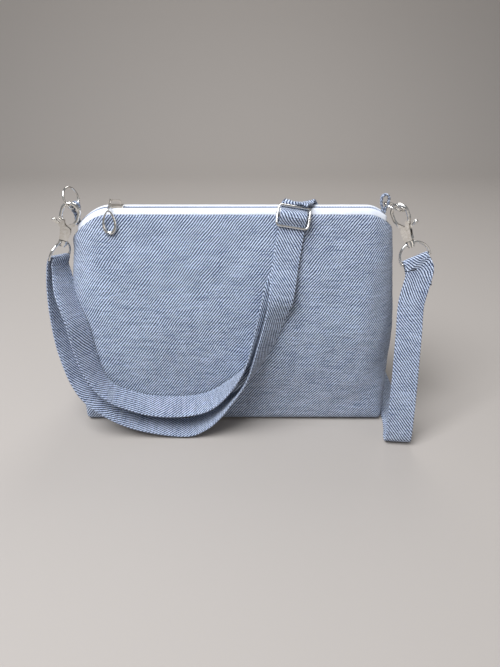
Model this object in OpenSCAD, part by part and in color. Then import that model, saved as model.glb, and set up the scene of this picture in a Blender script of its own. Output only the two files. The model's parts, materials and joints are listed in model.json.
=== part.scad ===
// Small zipped shoulder bag with a boxed base. A detachable strap hangs from two
// swivel snap hooks and runs through a wire adjuster. Millimetres, +Z up, front
// towards -Y. The origin is the middle of the base, on the floor.

/* [Bag] */
// Width of the base, left to right
base_w = 314; // [280:1:350]
// Depth of the base, front to back
base_d = 100; // [84:1:112]
// Width across the mouth
mouth_w = 308; // [280:1:340]
// Depth across the mouth, outside the folded edges
mouth_d = 18; // [17:0.5:22]
// Height of the closed zip above the floor
zip_h = 216; // [190:1:240]
// How far the filled walls bulge
bulge = 13; // [4:1:18]
// How far the filled ends bulge
end_bulge = 9.5; // [2:0.5:11]
// Radius of the lower edge at the corners
base_round = 3; // [2.5:0.5:6]
// Extra radius of the lower edge at mid width
base_lift = 6; // [0:0.5:8]
// Thickness of the outer twill
twill_t = 1.2; // [0.8:0.1:1.5]
// Thickness of the lining
lining_t = 0.6; // [0.4:0.1:1]
// Gap between layers of cloth that lie together
cloth_gap = 0.3; // [0.2:0.05:0.4]

/* [Zip] */
// Flat part of each tape, from the middle of the zip
tape_flat = 4.8; // [4.7:0.1:5.4]
// Height that each tape falls to the folded edge
tape_fall = 4.4; // [3:0.1:6]
// Hem of the tape inside the folded edge
tape_hem = 5; // [3:0.5:8]
// Tape thickness
tape_t = 0.6; // [0.4:0.1:0.7]
// Height of each coil
coil_h = 1.8; // [1.4:0.1:2]
// Width of each coil
coil_w = 1.5; // [1.2:0.1:1.6]
// Half the slot between the two coils, where the divider runs
coil_slot = 0.6; // [0.6:0.1:0.9]
// Distance of the zip slider from the left end of the mouth
slider_in = 46; // [44:1:120]
// Length of the zip slider's plates
slider_l = 13; // [11:0.5:15]
// Width of the zip slider
slider_w = 8.6; // [8.4:0.1:9.2]
// Wire diameter of the pull's link
link_wire = 0.9; // [0.7:0.05:1]
// Distance between the link's two end bends
link_l = 14; // [12:0.5:15]
// Length of the drop-shaped pull
pull_l = 23; // [18:0.5:28]
// Width of the drop-shaped pull
pull_w = 15; // [12:0.5:16]

/* [Strap] */
// Strap width
strap_w = 25; // [22:0.5:27]
// Strap thickness
strap_t = 2; // [1.6:0.1:2.2]
// Length of the sewn fold at the right ring
fold_l = 27; // [18:1:34]
// Width of the tabs that hold the rings
tab_w = 4.5; // [3.5:0.5:5]
// Thickness of the tabs
tab_t = 2; // [1.5:0.1:2.2]
// Mean radius of the two round rings
ring_r = 10; // [9.5:0.25:11]
// Wire diameter of the round rings
ring_wire = 2; // [1.6:0.1:2.2]

/* [Snap hook] */
// Wire diameter of the D ring
dee_wire = 2.4; // [2:0.1:2.6]
// Height of the D ring, from its bar to the swivel
dee_h = 17.2; // [16.6:0.1:19]
// Wire diameter of the hook
hook_wire = 3.6; // [3:0.1:3.8]
// Mean radius of the hook's bends
hook_r = 7.6; // [7.3:0.1:8]
// Length of the straight sides of the hook
hook_side = 4.9; // [3.5:0.1:6]
// Thickness of the hook's body
body_t = 5.4; // [5:0.1:6]
// Thickness of the gate lever
lever_t = 2.2; // [1.8:0.1:2.4]
// Diameter of the gate's pin
pin_d = 1.8; // [1.5:0.1:2]

/* [Adjuster] */
// Wire diameter of the adjuster
glide_wire = 2.4; // [2:0.1:2.6]
// Height of the adjuster's frame, between wire centres
glide_h = 19; // [18.5:0.25:21]

/* [Hidden] */
$fn = 32;
side_gap = 0.5;
run_gap = 0.3;
pin_gap = 0.08;
seam_gap = 0.2;

// Left and right falls of the mouth at its ends: reach in from the end, and fall
left_reach = 38;
left_fall = 24;
right_reach = 25;
right_fall = 14;

// Corners of the level sections: [along the width, along the depth as a share]
base_corner = [5, 0.1];
wall_corner = [48, 0.8];
mouth_corner = [26, 0.9];
corner_rise = 0.45;

function lerp(a, b, t) = a + (b - a) * t;
function unit(v) = v / norm(v);
function half_w(t) = lerp(base_w, mouth_w, t) / 2 + end_bulge * sin(180 * pow(t, 0.9));
function half_d(t) = lerp(base_d, mouth_d, t) / 2 + bulge * sin(180 * t);
function corner(t) =
    t < corner_rise ? lerp(base_corner, wall_corner, sin(90 * t / corner_rise))
    : lerp(wall_corner, mouth_corner, (t - corner_rise) / (1 - corner_rise));
function end_fall(x, reach, fall) =
    fall * pow(max(0, abs(x) - mouth_w / 2 + reach) / reach, 1.8);
function zip_z(x) =
    zip_h - (x < 0 ? end_fall(x, left_reach, left_fall) : end_fall(x, right_reach, right_fall));
function edge_z(x) = zip_z(x) - tape_fall;

// Front half of a level section: 24 steps from the left seam round to the right,
// two on each side, five round each corner and ten across the front
sides = 2;
turns = 5;
cols = 24;
function level(j, w, d, cw, cd) =
    let (k = min(j, cols - j), s = j < cols / 2 ? -1 : 1, a = 90 * (k - sides) / turns)
    k <= sides ? [s * w, (d - cd) * k / sides]
    : k <= sides + turns ? [s * (w - cw + cw * cos(a)), d - cd + cd * sin(a)]
    : [s * (w - cw) * (cols / 2 - k) / (cols / 2 - sides - turns), d];

// A point of the bag's skin: t runs up the wall, turn rounds the lower edge
// from 0 under the base to 90 on the wall, j goes round from the left seam to
// the right one, and in is the depth below the outer face.
function skin(t, turn, j, in, drop) =
    let (
        mid = 1 - pow(abs(1 - 2 * j / cols), 2),
        round = base_round + base_lift * mid,
        r = round - in,
        back = in + r * (1 - sin(turn)),
        c = corner(t),
        w = half_w(t) - back,
        d = half_d(t) - back - seam_gap / 2,
        p = level(j, w, d, max(0.5, c[0] - back), max(0.3, c[1] * half_d(t) - back)),
        z = t == 0 ? in + r * (1 - cos(turn)) : lerp(round, edge_z(p.x) - drop, t)
    )
    [p.x, -p.y - seam_gap / 2, z];

// Front half of a cloth skin between two depths, closed along both faces
module half_skin(outer, inner, rises, drop) {
    bends = 3;
    rows = concat(
        [for (k = [0:bends]) [0, 90 * k / bends]],
        [for (k = [1:rises]) [k / rises, 90]]
    );
    last = len(rows) - 1;
    wide = cols + 1;
    function grid(in) = [
        for (row = rows, j = [0:cols]) skin(row[0], row[1], j, in, drop)
    ];
    function o(i, j) = i * wide + j;
    function n(i, j) = o(last + 1, 0) + i * wide + j;
    function quad(a, b, c, d) = [[a, b, c], [a, c, d]];
    walls = [
        for (i = [0:last - 1], j = [0:cols - 1])
            each concat(
                quad(o(i, j), o(i + 1, j), o(i + 1, j + 1), o(i, j + 1)),
                quad(n(i, j), n(i, j + 1), n(i + 1, j + 1), n(i + 1, j))
            )
    ];
    rims = [
        for (i = [0:last - 1])
            each concat(
                quad(o(i, 0), n(i, 0), n(i + 1, 0), o(i + 1, 0)),
                quad(o(i, cols), o(i + 1, cols), n(i + 1, cols), n(i, cols))
            )
    ];
    mouth = [
        for (j = [0:cols - 1])
            each quad(o(last, j), n(last, j), n(last, j + 1), o(last, j + 1))
    ];
    base = [
        [for (j = [0:cols]) o(0, j)],
        [for (j = [cols:-1:0]) n(0, j)],
        [o(0, 0), o(0, cols), n(0, cols), n(0, 0)]
    ];
    polyhedron(concat(grid(outer), grid(inner)), concat(walls, rims, mouth, base));
}

lining_in = twill_t + cloth_gap;

module front_panel() {
    color([0.52, 0.56, 0.63]) half_skin(0, twill_t, 12, 0);
}

module back_panel() {
    color([0.50, 0.54, 0.61]) mirror([0, 1, 0]) half_skin(0, twill_t, 12, 0);
}

module front_lining() {
    color([0.30, 0.32, 0.36])
        half_skin(lining_in, lining_in + lining_t, 10, tape_hem + 3 * cloth_gap);
}

module back_lining() {
    mirror([0, 1, 0]) front_lining();
}

// Zip

// Half depth of the mouth inside the folded edge, at x
function mouth_y(x) =
    let (
        lay = twill_t + cloth_gap,
        w = half_w(1) - lay,
        d = half_d(1) - lay,
        cw = mouth_corner[0] - lay,
        cd = mouth_corner[1] * half_d(1) - lay,
        q = max(0, abs(x) - w + cw) / cw
    )
    d - cd + cd * sqrt(max(0, 1 - q * q));
coil_out = coil_slot + coil_w;
tape_in = coil_out + 0.1;
tape_end = half_w(1) - 7.5;
zip_steps = 36;
zip_x = [for (k = [0:zip_steps]) lerp(tape_end, -tape_end, k / zip_steps)];

// A closed section swept along x, given as a list of rings of equal length
module loft(rings) {
    m = len(rings[0]);
    last = len(rings) - 1;
    sides = [
        for (i = [0:last - 1], j = [0:m - 1])
            let (a = i * m + j, b = i * m + (j + 1) % m)
                each [[a, b, b + m], [a, b + m, a + m]]
    ];
    ends = [[for (j = [m - 1:-1:0]) j], [for (j = [0:m - 1]) last * m + j]];
    polyhedron([for (ring = rings) each ring], concat(sides, ends));
}

// Section of the front tape at x: flat by the coil, down to the edge, then the hem
function tape_ring(x) =
    let (
        z = zip_z(x),
        edge = mouth_y(x),
        flat = min(tape_flat, edge - tape_t),
        low = -tape_fall - tape_hem,
        lean = tape_hem * 0.34,
        h = tape_t / 2
    )
    [
        for (p = [
            [tape_in, h], [flat, h], [edge, -tape_fall], [edge + lean, low],
            [edge + lean - tape_t, low], [edge - tape_t, -tape_fall - h], [flat - h, -h],
            [tape_in, -h]
        ])
            [x, -p[0], z + p[1]]
    ];

module zip_tape_front() {
    color([0.90, 0.91, 0.92]) loft([for (x = zip_x) tape_ring(x)]);
}

module zip_tape_back() {
    mirror([0, 1, 0]) zip_tape_front();
}

module zip_coil_front() {
    bevel = 0.4;
    h = coil_h / 2;
    section = [
        [coil_slot, h - bevel], [coil_slot + bevel, h], [coil_out - bevel, h],
        [coil_out, h - bevel], [coil_out, bevel - h], [coil_out - bevel, -h],
        [coil_slot + bevel, -h], [coil_slot, bevel - h]
    ];
    color([0.62, 0.66, 0.74])
        loft([for (x = zip_x) [for (p = section) [x, -p[0], zip_z(x) + p[1]]]]);
}

module zip_coil_back() {
    mirror([0, 1, 0]) zip_coil_front();
}

slider_x = slider_in - mouth_w / 2;
plate_t = 1.2;
plate_in = coil_h / 2 + run_gap;
crown_t = 1.1;
crown_w = 1.2;
crown_top = plate_in + plate_t + 5.1;
crown_mid = crown_top - crown_t / 2;

// Outline of a slider plate, wide at the nose (left) and narrower at the tail
module plate_outline() {
    nose = slider_w / 2;
    tail = nose - 0.5;
    polygon([
        [-slider_l / 2, -nose + 1.4], [-slider_l / 2 + 1.4, -nose],
        [-1, -nose], [1.5, -tail], [slider_l / 2 - 0.8, -tail], [slider_l / 2, -tail + 0.8],
        [slider_l / 2, tail - 0.8], [slider_l / 2 - 0.8, tail], [1.5, tail], [-1, nose],
        [-slider_l / 2 + 1.4, nose], [-slider_l / 2, nose - 1.4]
    ]);
}

// The rail along a plate's two long edges, which holds the coils in
module rails() {
    rail = 0.9;
    difference() {
        plate_outline();
        translate([-slider_l, rail - slider_w / 2 + 0.5])
            square([2 * slider_l, slider_w - 2 * rail - 1]);
    }
}

// Side view of the crown, x along the zip and y up
module crown_outline() {
    front = -slider_l / 2 - 1.6;
    back = slider_l / 2 - 1.2;
    base = plate_in + plate_t - 0.2;
    difference() {
        polygon([
            [front + 1.6, base], [front + 3.4, base], [back - 1.4, base], [back, base],
            [back - 0.4, crown_top - 1.2], [back - 1.8, crown_top - 0.2],
            [back - 4, crown_top], [front + 2, crown_top], [front + 0.7, crown_top - 0.5],
            [front, crown_top - 1.6], [front + 0.2, base + 1.5]
        ]);
        polygon([
            [front + 3.6, base - 1], [back - 1.5, base - 1], [back - 1.7, crown_top - 2.2],
            [back - 2.6, crown_top - crown_t], [front + 2.2, crown_top - crown_t],
            [front + 1.4, crown_top - crown_t - 0.5], [front + 1.5, base + 1.6],
            [front + 3.6, base + 0.7]
        ]);
    }
}

module zip_slider() {
    rail_end = tape_t / 2 + 0.25;
    color([0.80, 0.79, 0.77]) translate([slider_x, 0, zip_h]) {
        for (up = [0, 1]) mirror([0, 0, up]) {
            translate([0, 0, -plate_in - plate_t]) linear_extrude(plate_t) plate_outline();
            translate([0, 0, -plate_in - 0.1]) linear_extrude(plate_in + 0.1 - rail_end) rails();
        }
        post_w = 2 * coil_slot - 0.5;
        translate([-slider_l / 2 + 0.4, -post_w / 2, -plate_in - 0.1])
            cube([3, post_w, 2 * plate_in + 0.2]);
        translate([0, crown_w / 2, 0]) rotate([90, 0, 0]) linear_extrude(crown_w) crown_outline();
    }
}

// The link hangs round the crown's front end, over the front tape
link_r = 1.4;
link_slope = 26;
link_at = [slider_x - slider_l / 2 + 1.4, 0, zip_h + crown_mid];
pull_at = link_at + link_l * [0, -cos(link_slope), -sin(link_slope)];

module pull_link() {
    color([0.83, 0.82, 0.80]) translate(link_at) rotate([link_slope, 0, 0]) {
        for (end = [0, 1])
            translate([0, -end * link_l, 0]) rotate([90, 0, 90]) rotate(end * 180 - 90)
                rotate_extrude(angle = 180) translate([link_r, 0]) circle(d = link_wire);
        for (s = [-1, 1])
            translate([0, 0, s * link_r]) rotate([90, 0, 0]) cylinder(d = link_wire, h = link_l);
    }
}

// Open drop-shaped pull: a wire outline, thick at the foot, hung on the link
pull_wire = 2.3;
pull_slope = 78;
pull_foot_r = pull_w / 2 - pull_wire / 2;

// Outline of the drop: a points round it from the eye, thicker at the foot
drop_turns = 28;
function drop_at(k) =
    let (a = 360 * k / drop_turns, e = 0.5 - 0.5 * cos(a))
    [pull_foot_r * sin(a) * pow(abs(sin(a / 2)), 0.5), -(pull_l - pull_wire) * e, 0];
function drop_wire(k) = pull_wire * (0.28 + 0.42 * (0.5 - 0.5 * cos(360 * k / drop_turns)));

module teardrop_pull() {
    m = 10;
    points = [
        for (k = [0:drop_turns - 1])
            let (
                p = drop_at(k),
                t = unit(drop_at(k + 1) - drop_at(k - 1)),
                n = [-t.y, t.x, 0],
                r = drop_wire(k)
            )
                each [for (j = [0:m - 1]) p + r * cos(360 * j / m) * n + [0, 0, r * sin(360 * j / m)]]
    ];
    count = drop_turns * m;
    faces = [
        for (k = [0:drop_turns - 1], j = [0:m - 1])
            let (
                a = k * m + j,
                b = k * m + (j + 1) % m,
                c = (b + m) % count,
                d = (a + m) % count
            )
                each [[a, c, b], [a, d, c]]
    ];
    color([0.84, 0.83, 0.80]) translate(pull_at) rotate([pull_slope, 0, 0])
        polyhedron(points, faces);
}

// Tabs and rings

left_tab_x = 7 - mouth_w / 2;
right_tab_x = mouth_w / 2 - 10;
left_tab_h = 15.8;
right_tab_h = 9.4;
tab_hole = ring_wire / 2 + 1.4;

// A folded tab at the mouth's end, seen from the front: its hole starts h above
// the zip and is more high
module tab(x, h, more) {
    leg = tab_t + seam_gap / 2;
    lift = coil_h / 2 + run_gap + 0.5;
    low = zip_z(x) + h;
    shoulder = tab_hole + tab_t - 0.4;
    translate([x, tab_w / 2, 0]) rotate([90, 0, 0]) difference() {
        union() {
            translate([0, low + more, 0]) cylinder(r = tab_hole + tab_t, h = tab_w);
            linear_extrude(tab_w) polygon([
                [-leg, zip_z(x - leg) + lift], [leg, zip_z(x + leg) + lift],
                [leg, low - 3.4], [shoulder, low - 1.4], [tab_hole + tab_t, low + more],
                [-tab_hole - tab_t, low + more], [-shoulder, low - 1.4], [-leg, low - 3.4]
            ]);
        }
        for (z = [low, low + more]) translate([0, z, -1]) cylinder(r = tab_hole, h = tab_w + 2);
        translate([-tab_hole, low, -1]) cube([2 * tab_hole, more, tab_w + 2]);
    }
}

module tab_left() {
    color([0.52, 0.56, 0.63]) tab(left_tab_x, left_tab_h, 2.5);
}

module tab_right() {
    color([0.52, 0.56, 0.63]) tab(right_tab_x, right_tab_h, 5);
}

// Each ring is a torus whose wire passes through its tab's hole. The left ring
// stands up, turned a little towards the right, and is held at the foot. The
// right ring lies out sideways.
left_lean = -15.7;
left_turn = -17.5;
right_lean = 108;
left_hole = [left_tab_x, 0, zip_z(left_tab_x) + left_tab_h];
right_hole = [right_tab_x, 0, zip_z(right_tab_x) + right_tab_h];

function turn_x(a, v) = [v.x, v.y * cos(a) - v.z * sin(a), v.y * sin(a) + v.z * cos(a)];
function turn_y(a, v) = [v.x * cos(a) + v.z * sin(a), v.y, v.z * cos(a) - v.x * sin(a)];
function turn_z(a, v) = [v.x * cos(a) - v.y * sin(a), v.x * sin(a) + v.y * cos(a), v.z];
left_ring_at = left_hole + turn_y(left_lean, [0, 0, ring_r]);
right_ring_at = right_hole + turn_y(right_lean, [0, 0, ring_r]);

module round_ring() {
    rotate([0, 90, 0]) rotate_extrude() translate([ring_r, 0]) circle(d = ring_wire);
}

module ring_left() {
    color([0.80, 0.79, 0.77]) translate(left_ring_at) rotate([0, left_lean, 0])
        rotate([0, 0, left_turn]) round_ring();
}

module ring_right() {
    color([0.80, 0.79, 0.77]) translate(right_ring_at) rotate([0, right_lean, 0]) round_ring();
}

// Snap hooks. Each is drawn standing on its D ring's bar: the bar lies along X
// through the origin and the hook is above it.

dee_in = strap_w + 2 * side_gap;
dee_r = (dee_in + dee_wire) / 2;
collar_r = 4.2;
collar_h = 4.2;
stud_r = 1.7;
head_r = 3;
neck_z = dee_h + collar_h / 2 + run_gap;
bend_z = dee_h + 25.8;
top_z = bend_z + hook_side;
crest_z = top_z + hook_r;
pivot = [-2, 0, dee_h + 13.5];
gate_wire = hook_wire - 0.6;
tip_way = unit([hook_r, 0, top_z] - pivot);
slot_gap = 0.18;

module arc_in_xz(r, d, from, to) {
    rotate([90, 0, 0]) rotate(from) rotate_extrude(angle = to - from) translate([r, 0]) circle(d = d);
}

// A point of the hook's oval, at a turn round the bend whose middle is at height z
function oval(turn, z) = [hook_r * cos(turn), 0, z + hook_r * sin(turn)];

// Round wire along a line of points, its last ring cut square to a given way
module wire(list, d, cut) {
    m = 12;
    last = len(list) - 1;
    loft([
        for (i = [0:last])
            let (
                t = unit(list[min(i + 1, last)] - list[max(i - 1, 0)]),
                a = [0, 1, 0],
                b = cross(a, t)
            )
            [
                for (j = [0:m - 1])
                    let (
                        p = d / 2 * (cos(360 * j / m) * a + sin(360 * j / m) * b),
                        slip = i == last ? (p * cut) / (t * cut) : 0
                    )
                    list[i] + p - slip * t
            ]
    ]);
}

module swivel_dee() {
    color([0.80, 0.79, 0.77]) difference() {
        union() {
            translate([-dee_r, 0, 0]) rotate([0, 90, 0]) cylinder(d = dee_wire, h = 2 * dee_r);
            for (s = [-1, 1]) translate([s * dee_r, 0, 0]) {
                sphere(d = dee_wire);
                cylinder(d = dee_wire, h = dee_h - dee_r);
            }
            translate([0, 0, dee_h - dee_r]) arc_in_xz(dee_r, dee_wire, 0, 180);
            translate([0, 0, dee_h - collar_h / 2]) cylinder(r = collar_r, h = collar_h);
        }
        translate([0, 0, dee_h - collar_h]) cylinder(r = stud_r + pin_gap, h = 2 * collar_h);
        translate([0, 0, dee_h - collar_h / 2 - 3])
            cylinder(r = head_r + run_gap, h = 3);
    }
}

// Flat outline of the hook's body, x across and y up from the swivel
module body_outline() {
    polygon([
        [-3.4, 0], [3.4, 0], [4.2, 1.2], [4.3, 5], [4.7, 9], [4.2, 11.5], [2.4, 13.4],
        [-1, 14.2], [-2.4, 15.6], [-3, 18.4], [-6, 19.6], [-6.8, 17.6], [-6, 15.2],
        [-5.5, 12.5], [-5.2, 9], [-4.4, 5], [-4.2, 1.2]
    ]);
}

// Space in the body that the lever swings in
module slot_outline() {
    polygon([
        [-14, 5], [-4, 4.5], [2, 5.4], [12, 9], [12, 30], [-2.6, 30], [-3.4, 14.6],
        [-14, 14.6]
    ]);
}

module extrude_y(t) {
    translate([0, t / 2, 0]) rotate([90, 0, 0]) linear_extrude(t) children();
}

module hook() {
    color([0.80, 0.79, 0.77]) {
        difference() {
            translate([0, 0, neck_z]) extrude_y(body_t) body_outline();
            translate([0, 0, neck_z]) extrude_y(lever_t + 2 * slot_gap) slot_outline();
            translate(pivot) rotate([90, 0, 0]) cylinder(d = pin_d, h = 20, center = true);
            translate([-1, 0, neck_z + 1.2]) cylinder(r = spring_r + 0.3, h = 5);
        }
        wire(
            concat(
                [for (g = [236:-14:180]) oval(g, bend_z)],
                [for (g = [180:-15:0]) oval(g, top_z)]
            ),
            hook_wire, tip_way
        );
        translate([0, 0, dee_h - collar_h / 2 - run_gap]) cylinder(r = stud_r, h = collar_h + 1);
        translate([0, 0, dee_h - collar_h / 2 - run_gap - 1.8]) cylinder(r = head_r, h = 1.8);
    }
}

// The gate is a lever on the pin: a curved arm closes the hook on one side, and
// a thumb nub stands out on the other.
module gate() {
    color([0.84, 0.83, 0.80]) {
        difference() {
            union() {
                extrude_y(lever_t) lever_outline();
                wire(
                    concat(
                        [for (g = [322:12.6:359]) oval(g, bend_z)],
                        [[hook_r, 0, bend_z], [hook_r, 0, top_z - 0.5]]
                    ),
                    gate_wire, tip_way
                );
                nub();
            }
            translate(pivot) rotate([90, 0, 0])
                cylinder(d = pin_d + 2 * pin_gap, h = 20, center = true);
        }
    }
}

// Outline of the flat lever between the gate's arm and the nub
module lever_outline() {
    translate([pivot.x, pivot.z]) circle(r = 2.7);
    polygon([
        [pivot.x - 0.6, pivot.z - 2.5], [pivot.x + 2.2, pivot.z - 1.6],
        [hook_r - 1, bend_z - 7.4], [hook_r - 0.6, bend_z - 4], [hook_r - 2.4, bend_z - 4.6],
        [pivot.x + 1, pivot.z + 2.5]
    ]);
    polygon([
        [pivot.x - 1, pivot.z - 2.4], [pivot.x + 0.5, pivot.z + 2.6],
        [pivot.x - 6.6, pivot.z + 4.1], [pivot.x - 6.6, pivot.z + 2.3]
    ]);
}

// The thumb nub: a tapered stem with a ball at its end, out beyond the body
module nub() {
    rise = 26;
    translate(pivot) rotate([0, rise - 90, 0]) {
        translate([0, 0, 6.5]) cylinder(r1 = 1.1, r2 = 2, h = 5.1);
        translate([0, 0, 11.6]) sphere(r = 2.1);
    }
}

module gate_pin() {
    color([0.72, 0.71, 0.70]) translate(pivot) rotate([90, 0, 0])
        cylinder(d = pin_d, h = body_t + 0.2, center = true);
}

// The gate's return spring, a small coil in the body under the lever
spring_r = 1.3;
spring_wire = 0.36;

function spring_point(s) =
    let (turns = 4.5)
    [spring_r * 0.8 * cos(360 * turns * s) - 1, spring_r * 0.8 * sin(360 * turns * s),
        lerp(neck_z + 1.5, neck_z + 5.2, s)];

module gate_spring() {
    steps = 36;
    points = [for (k = [0:steps]) spring_point(k / steps)];
    color([0.70, 0.70, 0.72]) ribbon_of(
        [for (p = points) [p, [0, 0, 1]]], 0, steps, spring_wire, spring_wire
    );
}

// Hooks in place: where each hook's crest is, from the middle of its round ring
left_hang = left_ring_at + [2.1, -5, -4.2];
right_hang = right_ring_at + [1.5, -2.6, 2.2];
left_tip = [-5, 21.8];
right_tip = [-12.1, -24.5];
left_dee_turn = 68;
left_hook_turn = 5;
right_dee_turn = 4;
right_hook_turn = 145;

function clasp_way(tip, v) = turn_y(tip[1], turn_x(tip[0], v));
function bar_of(hang, tip) = hang - clasp_way(tip, [0, 0, crest_z]);
left_bar = bar_of(left_hang, left_tip);
right_bar = bar_of(right_hang, right_tip);
left_bar_way = clasp_way(left_tip, turn_z(left_dee_turn, [1, 0, 0]));
right_bar_way = clasp_way(right_tip, turn_z(right_dee_turn, [1, 0, 0]));

module on_left(turn) {
    translate(left_bar) rotate([left_tip[0], left_tip[1], 0]) rotate(turn) children();
}

module on_right(turn) {
    translate(right_bar) rotate([right_tip[0], right_tip[1], 0]) rotate(turn) children();
}

module dee_left() {
    on_left(left_dee_turn) swivel_dee();
}

module dee_right() {
    on_right(right_dee_turn) swivel_dee();
}

module hook_left() {
    on_left(left_hook_turn) hook();
}

module hook_right() {
    on_right(right_hook_turn) hook();
}

module gate_left() {
    on_left(left_hook_turn) gate();
}

module gate_right() {
    on_right(right_hook_turn) gate();
}

module gate_pin_left() {
    on_left(left_hook_turn) gate_pin();
}

module gate_pin_right() {
    on_right(right_hook_turn) gate_pin();
}

module gate_spring_left() {
    on_left(left_hook_turn) gate_spring();
}

module gate_spring_right() {
    on_right(right_hook_turn) gate_spring();
}

// Strap. A station is [middle, way of the width]. Routes are chosen by hand for
// the bag's own size and follow it when it changes.
drawn_w = 157;
drawn_d = 50;
drawn_h = 216;

function follow(p) = [
    p.x * base_w / 2 / drawn_w,
    p.y + sign(p.y) * (base_d / 2 - drawn_d) * min(1, abs(p.y) / drawn_d),
    p.z * zip_h / drawn_h
];
function way(yaw, pitch) = [cos(pitch) * cos(yaw), cos(pitch) * sin(yaw), sin(pitch)];
function stations(list) = [for (s = list) [s[0], way(s[1], s[2]), 2]];

// Depth of the bag's face at a point, 0 outside its width
function face_y(x, z) =
    let (
        low = base_round + base_lift,
        t = min(1, max(0, (z - low) / (edge_z(x) - low))),
        c = corner(t),
        w = half_w(t),
        d = half_d(t),
        cd = c[1] * d,
        q = (abs(x) - w + c[0]) / c[0]
    )
    q >= 1 ? 0 : q <= 0 ? d : d - cd + cd * sqrt(1 - q * q);

// Moves sampled stations off the bag: side is -1 in front and 1 behind
function clear_of_bag(list, side, off) = [
    for (s = list)
        let (
            need = max([
                for (k = [-1, -0.5, 0, 0.5, 1])
                    let (p = s[0] + k * strap_w / 2 * s[1])
                    side * s[0].y < 0 || p.z > zip_h - 3 || face_y(p.x, p.z) == 0 ? 0
                    : face_y(p.x, p.z) + off - side * p.y
            ])
        )
        [s[0] + [0, side * max(0, need), 0], s[1], s[2]]
];

function bend(a, b, c, d, t) =
    0.5 * (2 * b + (c - a) * t + (2 * a - 5 * b + 4 * c - d) * t * t
        + (3 * b - a - 3 * c + d) * t * t * t);
function pick(list, i) = list[max(0, min(len(list) - 1, i))];
function smooth(list) = [
    for (i = [0:len(list) - 1], k = [0:list[i][2] - 1])
        let (t = k / list[i][2])
            [
                for (part = [0, 1])
                    bend(pick(list, i - 1)[part], list[i][part], pick(list, i + 1)[part],
                        pick(list, i + 2)[part], t)
            ]
];

function station_way(list, i) = unit(pick(list, i + 1)[0] - pick(list, i - 1)[0]);
function square_to(w, t) = unit(w - (w * t) * t);
function flat_ring(list, i, w, h) =
    let (
        t = station_way(list, i),
        u = square_to(list[i][1], t),
        n = cross(t, u)
    )
    [for (c = [[-1, -1], [-1, 1], [1, 1], [1, -1]]) list[i][0] + c[0] * w / 2 * u + c[1] * h / 2 * n];

module ribbon_of(list, from, to, w, h) {
    loft([for (i = [from:to]) flat_ring(list, i, w, h)]);
}

bar_r = dee_wire / 2 + run_gap + strap_t / 2;
bar_loop_r = glide_wire / 2 + run_gap + strap_t / 2;

// Straight run on the front, up to the adjuster: a point is s along it and h off
// the face
run_from = follow([50.8, 0, 168]);
run_to = follow([57, 0, 206]);
run_foot = [run_from.x, -face_y(run_from.x, run_from.z) - 0.4, run_from.z];
run_head = [run_to.x, -face_y(run_to.x, run_to.z) - 0.4, run_to.z];
run_way = unit(run_head - run_foot);
run_across = square_to([1, 0, 0], run_way);
run_out = cross(run_across, run_way);
glide_up = 4;
glide_tilt = 8;
glide_off = 4.9;
glide_rise = glide_h / 2 * sin(glide_tilt);
glide_at = run_head + glide_up * run_way + glide_off * run_out;
run_low = -45;
run_high = 11.5;
main_off = 1.5 * strap_t + 0.2;
return_off = strap_t / 2;

function on_run(s, h) = glide_at + s * run_way + (h - glide_off) * run_out;
function run_part(list) = [for (p = list) [on_run(p[0], p[1]), run_across, 1]];
under = glide_wire / 2 + run_gap + strap_t / 2 + 0.15;
over = glide_wire / 2 + run_gap + strap_t + run_gap + strap_t / 2;
low_off = glide_off + glide_rise - under;
high_off = glide_off - glide_rise - under;
crest_off = glide_off + over;
slider_run = run_part([
    [run_high, high_off], [glide_h / 2, high_off], [7, high_off + 0.8], [5, crest_off - 4.2],
    [3.2, crest_off - 1.3], [1.4, crest_off - 0.1], [-0.6, crest_off], [-2.6, crest_off - 0.8],
    [-4.6, crest_off - 2.6], [-6.8, low_off + 1.2], [-glide_h / 2, low_off],
    [-14, low_off - 0.1], [-20, main_off + 0.1], [-30, main_off], [run_low + 6, main_off]
]);
return_run = concat(
    run_part([
        [run_low, return_off], [-30, return_off], [-20, return_off], [-12, return_off],
        [-6, return_off + 0.1], [-3, glide_off - bar_loop_r + 0.1]
    ]),
    [
        for (g = [-90:20:90])
            [on_run(bar_loop_r * cos(g), glide_off + bar_loop_r * sin(g)), run_across, 1]
    ]
);

// Right ring: the webbing's sewn end, its fold round the bar, then the drop
right_side = unit(cross(right_bar_way, clasp_way(right_tip, [0, 0, 1])));
right_down = -1 * clasp_way(right_tip, [0, 0, 1]);
right_fold = concat(
    [
        for (g = [fold_l, 15, 7])
            [
                right_bar - (bar_r - 0.03 * g) * right_side + g * right_down
                    - pow(g / fold_l, 2) * [6.5, 3, 0],
                right_bar_way, 1
            ]
    ],
    [
        for (g = [180:-20:0])
            [
                right_bar + bar_r * (cos(g) * right_side - sin(g) * right_down),
                right_bar_way, 1
            ]
    ]
);
right_drop = concat(
    [for (g = [4, 12]) [right_bar + bar_r * right_side + g * right_down, right_bar_way, 2]],
    stations([
        [follow([174.4, -32, 0]) + [0, 0, 132], 2, 12], [follow([172, -46, 0]) + [0, 0, 108], 0, 7],
        [follow([169.4, -61, 0]) + [0, 0, 82], -2, 3], [follow([167.4, -74, 55]), -4, 2]
    ])
);

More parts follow.
